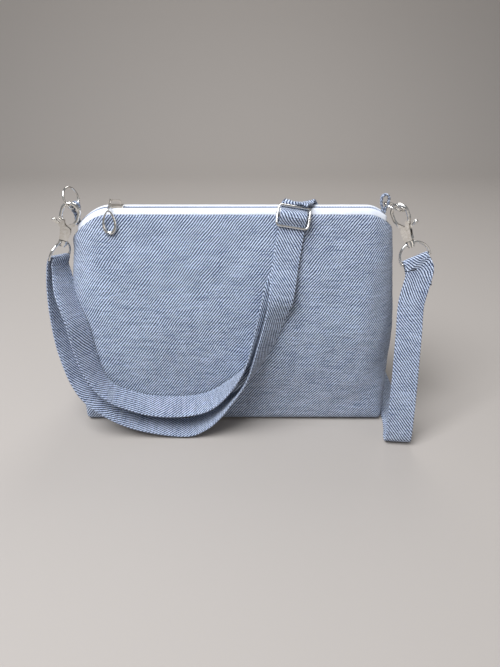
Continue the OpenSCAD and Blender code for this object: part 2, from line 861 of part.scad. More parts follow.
// From there down to the floor, back beside the bag and up its back
behind = clear_of_bag(stations([
    [follow([166, -84, 27]), -5, 0], [follow([165.6, -88, 11]), -5, 0],
    [follow([165.8, -86, 4]), -5, 0], [follow([166.4, -78, 1.3]), -4, 0],
    [follow([171.5, -50, 1.3]), 0, 0], [follow([171.5, 20, 1.3]), 0, 0],
    [follow([171, 52, 1.3]), 0, 0], [follow([170, 64, 3]), 0, 0],
    [follow([167, 70, 9]), 2, -2], [follow([160, 69, 22]), 8, -8],
    [follow([146, 62, 45]), 20, -20], [follow([126, 56, 85]), 35, -26],
    [follow([106, 47, 130]), 28, -30], [follow([89, 34, 172]), 20, -28],
    [follow([77, 19, 200]), 14, -20]
]), 1, 1.8);

// Over the zip to the adjuster
over_top = stations([
    [follow([71, 12.2, 212]), 12, -6], [follow([67, 7.2, 218.6]), 9, -3],
    [follow([64, 0, 220]), 4, -2],
    [glide_at + (run_high + 1.4) * run_way - 2.6 * run_out, 0, -9]
]);

// Left ring: the webbing folds round its bar in the middle of the loop
left_side = -1 * unit(cross(left_bar_way, clasp_way(left_tip, [0, 0, 1])));
left_down = -1 * clasp_way(left_tip, [0, 0, 1]);
outer_loop = concat(
    run_part([[run_low, main_off]]),
    run_part([[run_low - 7, main_off + 1.3]]),
    clear_of_bag(stations([
        [follow([46.5, -48, 143]), 16, -15], [follow([41, -51, 123]), 36, -20],
        [follow([29, -56, 90]), 54, -20], [follow([17, -61, 65]), 75, -16],
        [follow([2, -65, 44]), 84, -9], [follow([-15, -66, 26]), 97, 6],
        [follow([-32, -64, 11]), 94, 12], [follow([-54, -63, 5]), 90, 10],
        [follow([-103, -63, 16]), 83, 6], [follow([-140, -58, 45]), 69, 6],
        [follow([-158, -48, 74]), 62, -3], [follow([-169, -34, 105]), 62, -11],
        [follow([-174, -18, 140]), 68, -13]
    ]), -1, 4.4),
    [[left_bar + bar_r * left_side + 6 * left_down, left_bar_way, 1]]
);
left_fold = [
    for (g = [0:20:180])
        [left_bar + bar_r * (cos(g) * left_side - sin(g) * left_down), left_bar_way, 1]
];
inner_loop = concat(
    [[left_bar - bar_r * left_side + 5 * left_down, left_bar_way, 2]],
    clear_of_bag(stations([
        [follow([-165.5, -16, 154]), 69, -12], [follow([-160, -26, 139]), 62, -15],
        [follow([-149, -38, 117]), 54, -18], [follow([-144, -45, 92]), 54, -20],
        [follow([-137, -50, 68]), 62, -14], [follow([-127, -54, 52]), 76, 0],
        [follow([-112, -55, 41]), 86, 12], [follow([-85, -57, 31]), 97, 19],
        [follow([-55, -58, 29]), 95, 20], [follow([-29, -59, 34]), 94, 16],
        [follow([-11, -58, 46]), 93, 6], [follow([7, -56, 66]), 84, -9],
        [follow([21, -52, 88]), 65, -18], [follow([34, -46, 122]), 36, -20],
        [follow([43, -33, 150]), 16, -15]
    ]), -1, 1.5),
    run_part([[run_low - 7, return_off]])
);

// The whole webbing in order, and where each piece of it starts
parts = [
    right_fold, right_drop, behind, over_top, slider_run, outer_loop, left_fold, inner_loop,
    return_run
];
function total(list, k) = k == 0 ? 0 : list[k - 1][2] + total(list, k - 1);
function first(k) = k == 0 ? 0 : total(parts[k - 1], len(parts[k - 1])) + first(k - 1);
whole = smooth([for (part = parts) each part]);

module webbing(k) {
    color([0.52, 0.56, 0.63])
        ribbon_of(whole, first(k), min(first(k + 1), len(whole) - 1), strap_w, strap_t);
}

module strap_right_fold() {
    webbing(0);
}

module strap_right_drop() {
    webbing(1);
}

module strap_behind() {
    webbing(2);
}

module strap_over_top() {
    webbing(3);
}

module strap_slider_run() {
    webbing(4);
}

module strap_outer_loop() {
    webbing(5);
}

module strap_left_fold() {
    webbing(6);
}

module strap_inner_loop() {
    webbing(7);
}

module strap_return() {
    webbing(8);
}

// Adjuster: a rounded frame of wire, tilted on the run, and the bar across it
collar_w = 1.85;
glide_x = strap_w / 2 + 0.8 * side_gap + collar_w;
glide_bend = 3;

module on_glide() {
    multmatrix([
        [run_across.x, run_way.x, run_out.x, glide_at.x],
        [run_across.y, run_way.y, run_out.y, glide_at.y],
        [run_across.z, run_way.z, run_out.z, glide_at.z]
    ]) rotate([-glide_tilt, 0, 0]) children();
}

module adjuster_frame() {
    x = glide_x - glide_bend;
    y = glide_h / 2 - glide_bend;
    color([0.80, 0.79, 0.77]) on_glide() {
        for (a = [0, 180]) rotate(a) {
            translate([-x, glide_h / 2, 0]) rotate([0, 90, 0]) cylinder(d = glide_wire, h = 2 * x);
            translate([glide_x, y, 0]) rotate([90, 0, 0]) cylinder(d = glide_wire, h = 2 * y);
        }
        for (sx = [-1, 1], sy = [-1, 1]) scale([sx, sy, 1])
            translate([x, y, 0]) rotate_extrude(angle = 90) translate([glide_bend, 0])
                circle(d = glide_wire);
    }
}

module adjuster_bar() {
    color([0.80, 0.79, 0.77]) on_glide() difference() {
        union() {
            translate([-glide_x, 0, 0]) rotate([0, 90, 0]) cylinder(d = glide_wire, h = 2 * glide_x);
            for (s = [-1, 1]) translate([s * glide_x, 0, 0]) rotate([90, 0, 0])
                cylinder(r = collar_w, h = 4, center = true);
        }
        for (s = [-1, 1]) translate([s * glide_x, 0, 0]) rotate([90, 0, 0])
            cylinder(d = glide_wire + 2 * pin_gap, h = 6, center = true);
    }
}

front_panel();
back_panel();
front_lining();
back_lining();
zip_tape_front();
zip_tape_back();
zip_coil_front();
zip_coil_back();
zip_slider();
pull_link();
teardrop_pull();
tab_left();
tab_right();
ring_left();
ring_right();
strap_right_fold();
strap_right_drop();
strap_behind();
strap_over_top();
strap_slider_run();
strap_outer_loop();
strap_left_fold();
strap_inner_loop();
strap_return();
adjuster_frame();
adjuster_bar();
dee_left();
dee_right();
hook_left();
hook_right();
gate_left();
gate_right();
gate_pin_left();
gate_pin_right();
gate_spring_left();
gate_spring_right();
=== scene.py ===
# Looks of the zipped shoulder bag: cloth, webbing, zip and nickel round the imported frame.
# Lengths inside the dictionaries are in millimetres; meshes are made in metres.
import json
import math
import bmesh
import bpy
import numpy as np
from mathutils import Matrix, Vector, noise


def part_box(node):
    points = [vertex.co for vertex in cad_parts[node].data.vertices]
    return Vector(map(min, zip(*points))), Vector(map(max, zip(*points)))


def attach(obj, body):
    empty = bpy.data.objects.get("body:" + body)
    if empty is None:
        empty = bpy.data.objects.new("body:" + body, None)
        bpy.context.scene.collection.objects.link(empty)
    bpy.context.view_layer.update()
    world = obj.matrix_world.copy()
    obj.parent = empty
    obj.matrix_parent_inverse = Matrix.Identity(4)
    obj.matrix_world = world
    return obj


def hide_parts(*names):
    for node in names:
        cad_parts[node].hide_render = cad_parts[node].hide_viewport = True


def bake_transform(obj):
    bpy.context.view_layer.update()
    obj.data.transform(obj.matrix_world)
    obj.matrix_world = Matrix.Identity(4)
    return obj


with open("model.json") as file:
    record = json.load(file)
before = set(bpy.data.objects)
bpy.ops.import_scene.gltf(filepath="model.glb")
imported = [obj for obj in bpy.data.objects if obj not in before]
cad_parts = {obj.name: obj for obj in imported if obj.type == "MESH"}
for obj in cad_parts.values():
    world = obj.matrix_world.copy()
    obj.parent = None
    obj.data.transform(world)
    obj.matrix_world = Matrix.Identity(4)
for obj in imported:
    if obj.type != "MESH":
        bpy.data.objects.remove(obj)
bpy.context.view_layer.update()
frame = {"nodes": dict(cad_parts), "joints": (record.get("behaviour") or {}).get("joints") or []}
mm = 0.001


def linear(hexColour):  # sRGB hex to the linear values that the sockets take
    parts = [int(hexColour[i:i + 2], 16) / 255 for i in (1, 3, 5)]
    return tuple([c / 12.92 if c <= 0.04045 else ((c + 0.055) / 1.055) ** 2.4 for c in parts] + [1])


def mixed(a, b, t):
    return a + (b - a) * t


def eased(low, high, value):  # 0 below low, 1 above high, smooth between
    t = min(1, max(0, (value - low) / (high - low)))
    return t * t * (3 - 2 * t)


def around(line, i):  # the entries i - 1 to i + 2, with the ends repeated
    return [line[min(len(line) - 1, max(0, i + k))] for k in (-1, 0, 1, 2)]


def bend(a, b, c, d, t):  # a smooth line from b to c that heeds a and d
    return 0.5 * (2 * b + (c - a) * t + (2 * a - 5 * b + 4 * c - d) * t * t
                  + (3 * b - a - 3 * c + d) * t ** 3)


def sweptFaces(rings, count):  # the sides between rings of count points, and a cap at each end
    faces = []
    for i in range(rings - 1):
        for k in range(count):
            a, b = i * count + k, i * count + (k + 1) % count
            faces.append((a, b, b + count, a + count))
    last = (rings - 1) * count
    return faces + [tuple(range(count)), tuple(last + k for k in reversed(range(count)))]


def makeObject(name, points, faces, materials, weave=None, faceSlots=None):
    mesh = bpy.data.meshes.new(name)
    mesh.from_pydata([tuple(p) for p in points], [], faces)
    mesh.validate()
    if weave is not None:
        layer = mesh.attributes.new("weave", "FLOAT_VECTOR", "POINT")
        layer.data.foreach_set("vector", np.array(weave, float).reshape(-1))
    for material in materials:
        mesh.materials.append(material)
    if faceSlots is not None:
        mesh.polygons.foreach_set("material_index", faceSlots)
    mesh.polygons.foreach_set("use_smooth", [True] * len(mesh.polygons))
    thing = bpy.data.objects.new(name, mesh)
    bpy.context.scene.collection.objects.link(thing)
    return thing


def outward(thing):  # faces turned so that they look out
    bm = bmesh.new()
    bm.from_mesh(thing.data)
    bmesh.ops.recalc_face_normals(bm, faces=bm.faces)
    bm.to_mesh(thing.data)
    bm.free()
    return thing


mathNode, noiseNode, rampNode = "ShaderNodeMath", "ShaderNodeTexNoise", "ShaderNodeValToRGB"


def newTree(name):
    material = bpy.data.materials.new(name)
    material.use_nodes = True
    material.node_tree.nodes.clear()
    return material, material.node_tree


def add(tree, kind, inputs, stops=(), **settings):  # one node: settings, values, links, ramp
    node = tree.nodes.new(kind)
    for key, value in settings.items():
        setattr(node, key, value)
    for key, value in inputs.items():
        if isinstance(value, bpy.types.Node):
            value = value.outputs[0]
        if isinstance(value, bpy.types.NodeSocket):
            tree.links.new(value, node.inputs[key])
        else:
            node.inputs[key].default_value = value
    for k, (place, hexColour) in enumerate(stops):
        ramp = node.color_ramp.elements
        stop = ramp[k] if k < 2 else ramp.new(place)
        stop.position, stop.color = place, linear(hexColour)
    return node


def threadPlace(tree):  # where a point lies in the cloth: mm across and mm along
    place = add(tree, "ShaderNodeAttribute", {}, attribute_name="weave").outputs["Vector"]
    return place, add(tree, "ShaderNodeSeparateXYZ", {0: place})


def threadWave(tree, along, apart):  # one crest every so many mm
    turn = add(tree, mathNode, {0: along, 1: 2 * math.pi / apart}, operation="MULTIPLY")
    return add(tree, mathNode, {0: turn}, operation="SINE")


def threadRound(tree, count):  # a round thread: high in its middle, low towards its neighbours
    share = add(tree, mathNode, {0: count}, operation="FRACT")
    turn = add(tree, mathNode, {0: share, 1: math.pi}, operation="MULTIPLY")
    return add(tree, mathNode, {0: turn}, operation="SINE")


def finishMaterial(tree, height, bumpDeep, shading):
    bump = add(tree, "ShaderNodeBump", {"Height": height, "Strength": 1.0,
                                        "Distance": bumpDeep * mm})
    shader = add(tree, "ShaderNodeBsdfPrincipled", {"Normal": bump, **shading})
    add(tree, "ShaderNodeOutputMaterial", {"Surface": shader})


# Furnishing twill in cotton and polyester: a pale weft with thick and thin places
# floats over a navy warp, so the eye sees broken diagonal lines. Matt, a little fuzzy.
twillCloth = {
    "pale": "#DCE8FC", "middle": "#8799BD", "dark": "#1D2945",
    "paleAt": 0.92, "middleAt": 0.50, "darkAt": 0.10,
    "threadWide": 0.70,   # warp threads 0.70 mm apart
    "threadHigh": 0.86,   # weft threads 0.86 mm apart, which leans the lines at 51 degrees
    "cells": 4.0,         # a diagonal repeats every four warp threads, two of them under the weft
    "slubLong": 18.0,     # thick places in the weft run about 18 mm
    "rowJump": 7.31, "columnJump": 5.17,  # keep the runs of neighbouring threads apart
    "wanderScale": 0.05, "wander": 2.6,   # threads wander 2.6 mm over some 20 mm
    "patchScale": 0.045,  # soft lighter patches, some 22 mm across
    "floatTone": 0.80, "baseTone": -0.79,
    "slubTone": 1.08, "strandTone": 0.20, "patchTone": 0.24, "speckTone": 0.22,
    "slubHigh": 1.2, "warpHigh": 0.62, "bump": 0.34,
}


def twillMaterial(name, look):
    material, tree = newTree(name)
    place = add(tree, "ShaderNodeAttribute", {}, attribute_name="weave").outputs["Vector"]
    drift = add(tree, noiseNode, {"Vector": place, "Scale": look["wanderScale"], "Detail": 1.0})
    wandered = add(tree, "ShaderNodeVectorMath", {
        0: drift.outputs["Color"], 1: (look["wander"], look["wander"], 0), 2: place},
        operation="MULTIPLY_ADD")
    spot = add(tree, "ShaderNodeSeparateXYZ", {0: wandered})
    acrossMm, alongMm = spot.outputs["X"], spot.outputs["Y"]
    across = add(tree, mathNode, {0: acrossMm, 1: look["threadWide"]}, operation="DIVIDE")
    along = add(tree, mathNode, {0: alongMm, 1: look["threadHigh"]}, operation="DIVIDE")
    column = add(tree, mathNode, {0: across}, operation="FLOOR")
    row = add(tree, mathNode, {0: along}, operation="FLOOR")

    # Which thread is on top: two cells of weft, then two of warp, one step on per row
    step = add(tree, mathNode, {0: column, 1: row}, operation="SUBTRACT")
    clear = add(tree, mathNode, {0: step, 1: 0.5}, operation="ADD")
    turn = add(tree, mathNode, {0: clear, 1: look["cells"]}, operation="FLOORED_MODULO")
    weftUp = add(tree, mathNode, {0: turn, 1: look["cells"] / 2}, operation="LESS_THAN")

    # Thick and thin places, one random run per weft row and a weaker one per warp column
    weftRun = add(tree, mathNode, {0: acrossMm, 1: look["slubLong"]}, operation="DIVIDE")
    weftRow = add(tree, mathNode, {0: row, 1: look["rowJump"]}, operation="MULTIPLY")
    weftSpot = add(tree, "ShaderNodeCombineXYZ", {0: weftRun, 1: weftRow})
    slub = add(tree, noiseNode, {"Vector": weftSpot, "Scale": 1.0, "Detail": 2.0,
                                 "Roughness": 0.6})
    warpColumn = add(tree, mathNode, {0: column, 1: look["columnJump"]}, operation="MULTIPLY")
    warpRun = add(tree, mathNode, {0: alongMm, 1: look["slubLong"]}, operation="DIVIDE")
    warpSpot = add(tree, "ShaderNodeCombineXYZ", {0: warpColumn, 1: warpRun})
    strand = add(tree, noiseNode, {"Vector": warpSpot, "Scale": 1.0, "Detail": 1.0})
    patch = add(tree, noiseNode, {"Vector": place, "Scale": look["patchScale"], "Detail": 2.0})
    cell = add(tree, "ShaderNodeCombineXYZ", {0: column, 1: row})
    speck = add(tree, "ShaderNodeTexWhiteNoise", {"Vector": cell})

    # Height: the thread on top, the weft thicker at its slubs
    weftHigh = add(tree, mathNode, {0: slub, 1: look["slubHigh"], 2: threadRound(tree, along)},
                   operation="MULTIPLY_ADD")
    warpHigh = add(tree, mathNode, {0: threadRound(tree, across), 1: look["warpHigh"]},
                   operation="MULTIPLY")
    height = add(tree, "ShaderNodeMix", {0: weftUp, 2: warpHigh, 3: weftHigh})

    # Tone from 0, navy, to 1, pale: the thread on top, then slubs, patches and single crossings
    tone = add(tree, mathNode, {0: weftUp, 1: look["floatTone"], 2: look["baseTone"]},
               operation="MULTIPLY_ADD")
    for part, share in ((slub, "slubTone"), (strand, "strandTone"), (patch, "patchTone"),
                        (speck, "speckTone")):
        tone = add(tree, mathNode, {0: part, 1: look[share], 2: tone}, operation="MULTIPLY_ADD")
    colour = add(tree, rampNode, {"Fac": tone}, [(look["darkAt"], look["dark"]),
                 (look["paleAt"], look["pale"]), (look["middleAt"], look["middle"])])
    rough = add(tree, mathNode, {0: slub, 1: 0.12, 2: 0.80}, operation="MULTIPLY_ADD")
    finishMaterial(tree, height, look["bump"], {
        "Base Color": colour, "Roughness": rough, "IOR": 1.46, "Sheen Weight": 0.22,
        "Sheen Roughness": 0.45, "Specular IOR Level": 0.28})
    return material


# Woven polyester zip tape: bright white, fine lengthwise ribs, a faint satin look
tapeCloth = {"ribs": 0.75, "picks": 0.6, "shade": "#D9DEE8", "white": "#F7F9FC", "bump": 0.10}


def tapeMaterial(look):
    material, tree = newTree("white woven tape")
    place, spot = threadPlace(tree)
    ribs = threadWave(tree, spot.outputs["Y"], look["ribs"])
    picks = threadWave(tree, spot.outputs["X"], look["picks"])
    woven = add(tree, mathNode, {0: picks, 1: 0.5, 2: ribs}, operation="MULTIPLY_ADD")
    height = add(tree, mathNode, {0: woven, 1: 0.5}, operation="MULTIPLY")
    grime = add(tree, noiseNode, {"Vector": place, "Scale": 0.08, "Detail": 3.0})
    # the colour follows the weave's height: painted shade, darker between the ribs and picks where
    # the weave dips; the grime noise adds random tone
    tone = add(tree, mathNode, {0: height, 1: 0.22, 2: grime}, operation="MULTIPLY_ADD")
    colour = add(tree, rampNode, {"Fac": tone}, [(0.2, look["shade"]), (0.8, look["white"])])
    rough = add(tree, mathNode, {0: grime, 1: 0.15, 2: 0.55}, operation="MULTIPLY_ADD")
    finishMaterial(tree, height, look["bump"], {
        "Base Color": colour, "Roughness": rough, "IOR": 1.5, "Sheen Weight": 0.1,
        "Specular IOR Level": 0.4})
    return material


# Extruded nylon coil: a smooth half-clear monofilament, pale blue-grey, softly glossy
def coilMaterial():
    material, tree = newTree("nylon coil")
    place = add(tree, "ShaderNodeTexCoord", {}).outputs["Object"]
    cloud = add(tree, noiseNode, {"Vector": place, "Scale": 900.0, "Detail": 2.0})
    colour = add(tree, rampNode, {"Fac": cloud}, [(0.3, "#8E9DBB"), (0.7, "#B4C0D6")])
    finishMaterial(tree, cloud, 0.03, {
        "Base Color": colour, "IOR": 1.53, "Roughness": 0.32, "Subsurface Weight": 0.1,
        "Subsurface Radius": (0.001, 0.001, 0.001)})
    return material


# Die-cast zinc and steel wire, barrel-plated with bright nickel: a warm silver mirror,
# softened by orange peel about 2 mm wide and by fine handling scratches
nickelPlate = {"peelScale": 420.0, "scratchScale": (900.0, 2600.0, 500.0), "wear": 0.12,
               "scratchHigh": 0.35, "low": "#E0DCD5", "high": "#F1EFEA", "bump": 0.02}


def nickelMaterial(name, look, roughness):
    material, tree = newTree(name)
    place = add(tree, "ShaderNodeTexCoord", {}).outputs["Object"]
    peel = add(tree, noiseNode, {"Vector": place, "Scale": look["peelScale"], "Detail": 2.0})
    stretched = add(tree, "ShaderNodeMapping", {"Vector": place, "Scale": look["scratchScale"]})
    scratch = add(tree, noiseNode, {"Vector": stretched, "Scale": 1.0, "Detail": 3.0})
    rough = add(tree, mathNode, {0: scratch, 1: look["wear"], 2: roughness - look["wear"] / 2},
                operation="MULTIPLY_ADD")
    colour = add(tree, rampNode, {"Fac": peel}, [(0.35, look["low"]), (0.65, look["high"])])
    height = add(tree, mathNode, {0: scratch, 1: look["scratchHigh"], 2: peel},
                 operation="MULTIPLY_ADD")
    finishMaterial(tree, height, look["bump"], {
        "Base Color": colour, "Roughness": rough, "Metallic": 1.0})
    return material


# Plain-woven polyester lining: thin, dark slate, a low satin sheen
def liningMaterial():
    material, tree = newTree("slate lining")
    spot = threadPlace(tree)[1]
    threadApart = 0.5
    warp = threadWave(tree, spot.outputs["X"], threadApart)
    weft = threadWave(tree, spot.outputs["Y"], threadApart)
    height = add(tree, mathNode, {0: warp, 1: weft}, operation="MULTIPLY")
    # the colour follows the weave's height: painted shade, darker where the threads dip, lighter on
    # their crests
    tone = add(tree, mathNode, {0: height, 1: 0.5, 2: 0.5}, operation="MULTIPLY_ADD")
    colour = add(tree, rampNode, {"Fac": tone}, [(0.0, "#4A5160"), (1.0, "#616979")])
    finishMaterial(tree, height, 0.06, {
        "Base Color": colour, "IOR": 1.5, "Roughness": 0.5, "Sheen Weight": 0.2})
    return material


# Spun polyester sewing thread, twisted: dusty blue, matt
def threadMaterial():
    material, tree = newTree("sewing thread")
    spot = threadPlace(tree)[1]
    slant = add(tree, mathNode, {0: spot.outputs["X"], 1: spot.outputs["Y"]}, operation="ADD")
    twist = threadWave(tree, slant, 0.4)
    # the colour follows the twist: painted shade in the grooves between the plies, lighter on their
    # crests
    tone = add(tree, mathNode, {0: twist, 1: 0.5, 2: 0.5}, operation="MULTIPLY_ADD")
    colour = add(tree, rampNode, {"Fac": tone}, [(0.0, "#8C9AB4"), (1.0, "#BFCBE0")])
    finishMaterial(tree, twist, 0.04, {"Base Color": colour, "IOR": 1.5, "Roughness": 0.6})
    return material


bagTwill = twillMaterial("blue-grey twill", twillCloth)
strapTwill = twillMaterial("blue-grey twill, folded into webbing", twillCloth)
whiteTape = tapeMaterial(tapeCloth)
nylonCoil = coilMaterial()
brightNickel = nickelMaterial("bright nickel", nickelPlate, 0.16)
springSteel = nickelMaterial("spring steel", nickelPlate, 0.28)
slateLining = liningMaterial()
sewingThread = threadMaterial()
print("materials made:", len(bpy.data.materials))


view = {"place": (0.0175, -0.468, 0.349), "pitch": 60.0, "lens": 27.0, "sensor": 36.0}
camera = bpy.data.objects.new("camera", bpy.data.cameras.new("camera"))
camera.location = view["place"]
camera.rotation_euler = (math.radians(view["pitch"]), 0, 0)
camera.data.lens = view["lens"]
camera.data.sensor_width = view["sensor"]
camera.data.clip_start = 0.01
bpy.context.scene.collection.objects.link(camera)
bpy.context.scene.camera = camera

# A sheet of matt paper for floor and wall, in metres
studio = {"halfWide": 3.0, "front": -2.5, "wallAt": 1.6, "bend": 0.5, "bendSteps": 12,
          "wallHigh": 2.6, "below": 0.0002, "paper": "#ADA69F",
          "skyColour": "#EEF2F8", "skyLight": 0.27}


def makeBackdrop():
    bendAt = studio["wallAt"] - studio["bend"]
    line = [(studio["front"], 0.0), (bendAt, 0.0)]
    for k in range(1, studio["bendSteps"] + 1):
        a = math.pi / 2 * k / studio["bendSteps"]
        line.append((bendAt + studio["bend"] * math.sin(a), studio["bend"] * (1 - math.cos(a))))
    line.append((studio["wallAt"], studio["wallHigh"]))
    points = [(s * studio["halfWide"], y, z - studio["below"]) for y, z in line for s in (-1, 1)]
    faces = [(2 * i, 2 * i + 1, 2 * i + 3, 2 * i + 2) for i in range(len(line) - 1)]
    material, tree = newTree("backdrop paper")
    place = add(tree, "ShaderNodeTexCoord", {}).outputs["Object"]
    fibre = add(tree, noiseNode, {"Vector": place, "Scale": 300.0, "Detail": 2.0})
    finishMaterial(tree, fibre, 0.02, {"Base Color": linear(studio["paper"]), "Roughness": 0.9,
                                       "Specular IOR Level": 0.2})
    backdrop = makeObject("backdrop", points, faces, [material])


lamps = {  # place and aim in metres, side, watts, colour
    "keyLamp": ((-0.5, -0.55, 1.4), (0.0, 0.0, 0.1), 1.0, 34.0, "#F4F8FF"),
    "fillLamp": ((1.2, -1.2, 0.8), (0.0, 0.0, 0.1), 0.8, 2.0, "#FFF6EC"),
    "rimLamp": ((0.2, 1.0, 1.3), (0.0, 0.0, 0.15), 0.6, 6.0, "#FFFFFF"),
}


def makeLamps():
    for name, (place, target, side, watts, colour) in lamps.items():
        data = bpy.data.lights.new(name, "AREA")
        data.shape = "SQUARE"
        data.size = side
        data.energy = watts
        data.color = linear(colour)[:3]
        lamp = bpy.data.objects.new(name, data)
        lamp.location = place
        aim = Vector(target) - Vector(place)
        lamp.rotation_euler = aim.to_track_quat("-Z", "Y").to_euler()
        bpy.context.scene.collection.objects.link(lamp)
    world = bpy.data.worlds.new("studio")
    world.use_nodes = True
    sky = world.node_tree.nodes["Background"].inputs
    sky["Color"].default_value = linear(studio["skyColour"])
    sky["Strength"].default_value = studio["skyLight"]
    bpy.context.scene.world = world
    bpy.context.scene.view_settings.view_transform = "Standard"


makeBackdrop()
makeLamps()
print("camera, floor and lamps set")


bag = {
    "baseWide": 314.0, "baseDeep": 100.0, "mouthWide": 308.0, "mouthDeep": 18.0,
    "zipHigh": 216.0, "bulge": 13.0, "endBulge": 9.5, "baseRound": 3.0, "baseLift": 6.0,
    "baseCorner": (5.0, 0.1), "wallCorner": (48.0, 0.8), "mouthCorner": (26.0, 0.9),
    "cornerRise": 0.45,  # share of the height at which the corners are roundest
    "twillThick": 1.2, "liningThick": 0.6, "layerGap": 0.3, "seamGap": 0.2, "tapeFall": 4.4,
    "liningDrop": 5.9, "leftReach": 38.0, "leftFall": 24.0, "rightReach": 25.0,
    "rightFall": 14.0, "droopPower": 1.8, "edgeRoll": 0.45, "foldMost": 0.9,
}

# A level section has 24 steps: 2 along the side, 5 round the corner, 5 to the middle, and back
sideEnd, cornerEnd, sectionMiddle, sectionEnd = 2, 7, 12, 24
# How finely the cloth is cut up on each of those stretches, round the lower edge and up
fineness = {"side": 6, "corner": 16, "front": 30, "baseEdge": 6, "rows": 76}

# Unevenness of the cloth: height, length across, length up, two offsets into the noise
clothFolds = {"broad": (1.5, 62, 44, 0, 3.0), "soft": (0.55, 23, 16, 9, 5.0),
              "fine": (0.16, 7, 6, 4, 8.0)}
pucker = {"high": 0.22, "long": 5.2, "reach": 10.0, "drift": 30.0, "wall": 200.0}
sideSeam = {"deep": 1.1, "narrow": 0.22, "high": 0.35, "broad": 0.7, "long": 5.5, "drift": 25.0}

# Creases of the standing bag: from and to as x and height, depth (in is minus), width
frontCreases = [
    ((-150, 176), (-118, 150), -1.5, 9), ((-148, 160), (-128, 120), -1.3, 10),
    ((-128, 184), (-60, 192), -0.9, 8), ((-40, 194), (30, 186), -0.8, 9),
    ((96, 196), (146, 176), -1.1, 9), ((138, 168), (150, 110), -1.2, 9),
    ((-152, 60), (-120, 20), -1.6, 12), ((-146, 34), (-96, 16), -1.2, 9),
    ((152, 62), (120, 18), -1.6, 12), ((140, 26), (84, 14), -1.1, 9),
    ((-100, 96), (-20, 78), 0.7, 18), ((30, 120), (110, 96), 0.7, 20),
    ((-70, 150), (10, 140), -0.8, 14), ((60, 150), (120, 130), -0.7, 14),
    ((-10, 40), (70, 34), -0.8, 14),
]
backCreases = [
    ((-150, 170), (-110, 140), -1.5, 10), ((150, 172), (112, 150), -1.5, 10),
    ((-150, 60), (-112, 22), -1.6, 12), ((150, 60), (114, 20), -1.6, 12),
    ((-60, 120), (40, 104), -1.0, 16), ((-90, 186), (70, 190), -0.9, 9),
]


def halfWide(t):  # t is the share of the height, 0 at the base and 1 at the mouth
    ends = bag["endBulge"] * math.sin(math.pi * t ** 0.9)
    return mixed(bag["baseWide"], bag["mouthWide"], t) / 2 + ends


def halfDeep(t):
    return mixed(bag["baseDeep"], bag["mouthDeep"], t) / 2 + bag["bulge"] * math.sin(math.pi * t)


def cornerOf(t):  # corner radius along the width in mm, and as a share of the depth
    rise = bag["cornerRise"]
    if t < rise:
        low, high, share = bag["baseCorner"], bag["wallCorner"], math.sin(math.pi / 2 * t / rise)
    else:
        low, high, share = bag["wallCorner"], bag["mouthCorner"], (t - rise) / (1 - rise)
    return tuple(mixed(a, b, share) for a, b in zip(low, high))


def zipZ(x):  # height of the zip along the mouth, lower at its drooping ends
    end = "left" if x < 0 else "right"
    reach, fall = bag[end + "Reach"], bag[end + "Fall"]
    share = max(0, (abs(x) - bag["mouthWide"] / 2 + reach) / reach)
    return bag["zipHigh"] - fall * share ** bag["droopPower"]


def levelPoint(j, w, d, cw, cd):  # point j round the front half of a level section
    k = min(j, sectionEnd - j)
    s = -1 if j < sectionMiddle else 1
    if k <= sideEnd:
        return s * w, (d - cd) * k / sideEnd
    if k <= cornerEnd:
        a = math.pi / 2 * (k - sideEnd) / (cornerEnd - sideEnd)
        return s * (w - cw + cw * math.cos(a)), d - cd + cd * math.sin(a)
    return s * (w - cw) * (sectionMiddle - k) / (sectionMiddle - cornerEnd), d


def skinPoint(t, turn, j, depth, drop):  # t up the wall, turn round the lower edge
    edgeRound = bag["baseRound"] + bag["baseLift"] * (1 - (1 - j / sectionMiddle) ** 2)
    r = edgeRound - depth
    back = depth + r * (1 - math.sin(turn))
    cornerWide, cornerShare = cornerOf(t)
    x, y = levelPoint(j, halfWide(t) - back, halfDeep(t) - back - bag["seamGap"] / 2,
                      max(0.5, cornerWide - back), max(0.3, cornerShare * halfDeep(t) - back))
    if t == 0:
        z = depth + r * (1 - math.cos(turn))
    else:
        z = mixed(edgeRound, zipZ(x) - bag["tapeFall"] - drop, t)
    return Vector((x, -y - bag["seamGap"] / 2, z))


def creaseAt(x, z, creases):
    total = 0
    for (x0, z0), (x1, z1), deep, wide in creases:
        dx, dz = x1 - x0, z1 - z0
        s = min(1, max(0, ((x - x0) * dx + (z - z0) * dz) / (dx * dx + dz * dz)))
        off = math.hypot(x - x0 - s * dx, z - z0 - s * dz)
        total += deep * (1 - abs(2 * s - 1) ** 3 * 0.6) * math.exp(-(off / wide) ** 2)
    return total


def unevenAt(p, side, kind):
    high, wide, tall, shift, layer = clothFolds[kind]
    return high * noise.noise(Vector((p.x / wide + shift, p.z / tall, layer * side)))


def foldAt(p, t, j, side):  # how far the cloth stands off the plain skin
    # puckers where the mouth's folded edge and the side seams are sewn
    nearMouth = math.exp(-((1 - t) * pucker["wall"] / pucker["reach"]) ** 2)
    wander = 2.5 * noise.noise(Vector((p.x / pucker["drift"], 0, side)))
    gathers = pucker["high"] * nearMouth * math.sin(p.x / pucker["long"] + wander)
    k = min(j, sectionEnd - j)
    groove = -sideSeam["deep"] * math.exp(-(k / sideSeam["narrow"]) ** 2) * eased(0.0, 0.05, t)
    wander = 2 * noise.noise(Vector((0, p.z / sideSeam["drift"], side)))
    groove += sideSeam["high"] * math.exp(-(k / sideSeam["broad"]) ** 2) \
        * math.sin(p.z / sideSeam["long"] + wander)
    # broad folds and creases, calmer near the base and the mouth
    calm = eased(0.0, 0.10, t) * (1 - 0.75 * nearMouth)
    creases = creaseAt(p.x, p.z, frontCreases if side < 0 else backCreases)
    folds = (unevenAt(p, side, "broad") + unevenAt(p, side, "soft") + creases) * calm
    whole = folds + unevenAt(p, side, "fine") * eased(0, 0.04, t) + gathers + groove
    return min(bag["foldMost"], whole)


